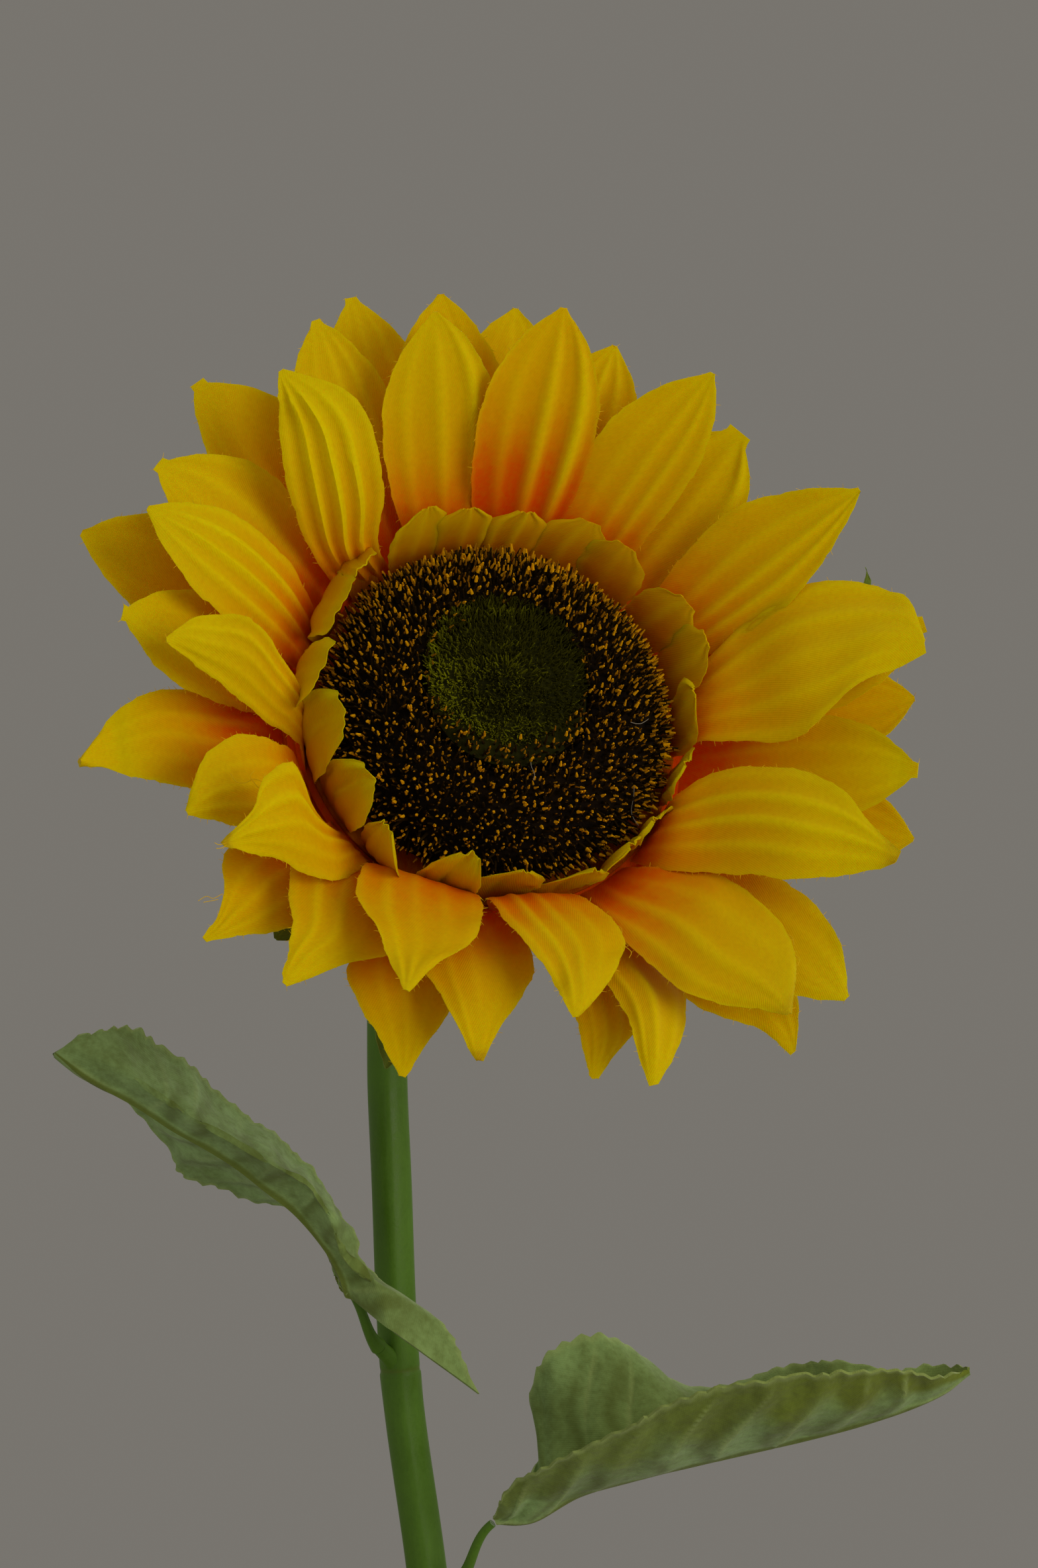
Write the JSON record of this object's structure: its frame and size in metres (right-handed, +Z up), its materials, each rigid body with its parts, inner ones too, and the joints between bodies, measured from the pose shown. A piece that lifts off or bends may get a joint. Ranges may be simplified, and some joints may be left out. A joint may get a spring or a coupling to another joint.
{
  "type": "potted artificial sunflower",
  "caption": "Single artificial sunflower with layered yellow fabric petals, a bristly dark seed disc and toothed leaves on a green stem, standing in a plain round pot.",
  "frame": {"origin": "centre of the pot's flat underside", "axes": "+Z up along the pot's axis; -Y towards the side the bloom looks to, turned a little towards +X and upwards"},
  "size_m": [0.2098, 0.1694, 0.5709],
  "materials": {
    "ray_fabric": "satin weave, orange towards the root",
    "inner_fabric": "satin weave, olive gold",
    "seed_pile": "stiff dark bristles with golden tips",
    "button_pile": "short green pile",
    "leaf_fabric": "matt printed cloth with pressed veins",
    "sepal_fabric": "matt printed cloth",
    "stem_plastic": "satin moulded sleeve over a wire core",
    "terracotta": "unglazed",
    "potting_fill": "dark crumbs glued on a solid filler"
  },
  "bodies": {
    "root": {"pot": "terracotta", "pot_fill": "potting_fill", "stem": "stem_plastic", "leaf_stalk_left": "stem_plastic", "leaf_blade_left": "leaf_fabric", "leaf_stalk_right": "stem_plastic", "leaf_blade_right": "leaf_fabric", "leaf_stalk_low": "stem_plastic", "leaf_blade_low": "leaf_fabric", "calyx_cup": "stem_plastic", "sepals": "sepal_fabric", "rays_back": "ray_fabric", "rays_middle": "ray_fabric", "rays_front": "ray_fabric", "inner_petals": "inner_fabric", "seed_disc": "seed_pile", "disc_button": "button_pile"}
  },
  "joints": []
}
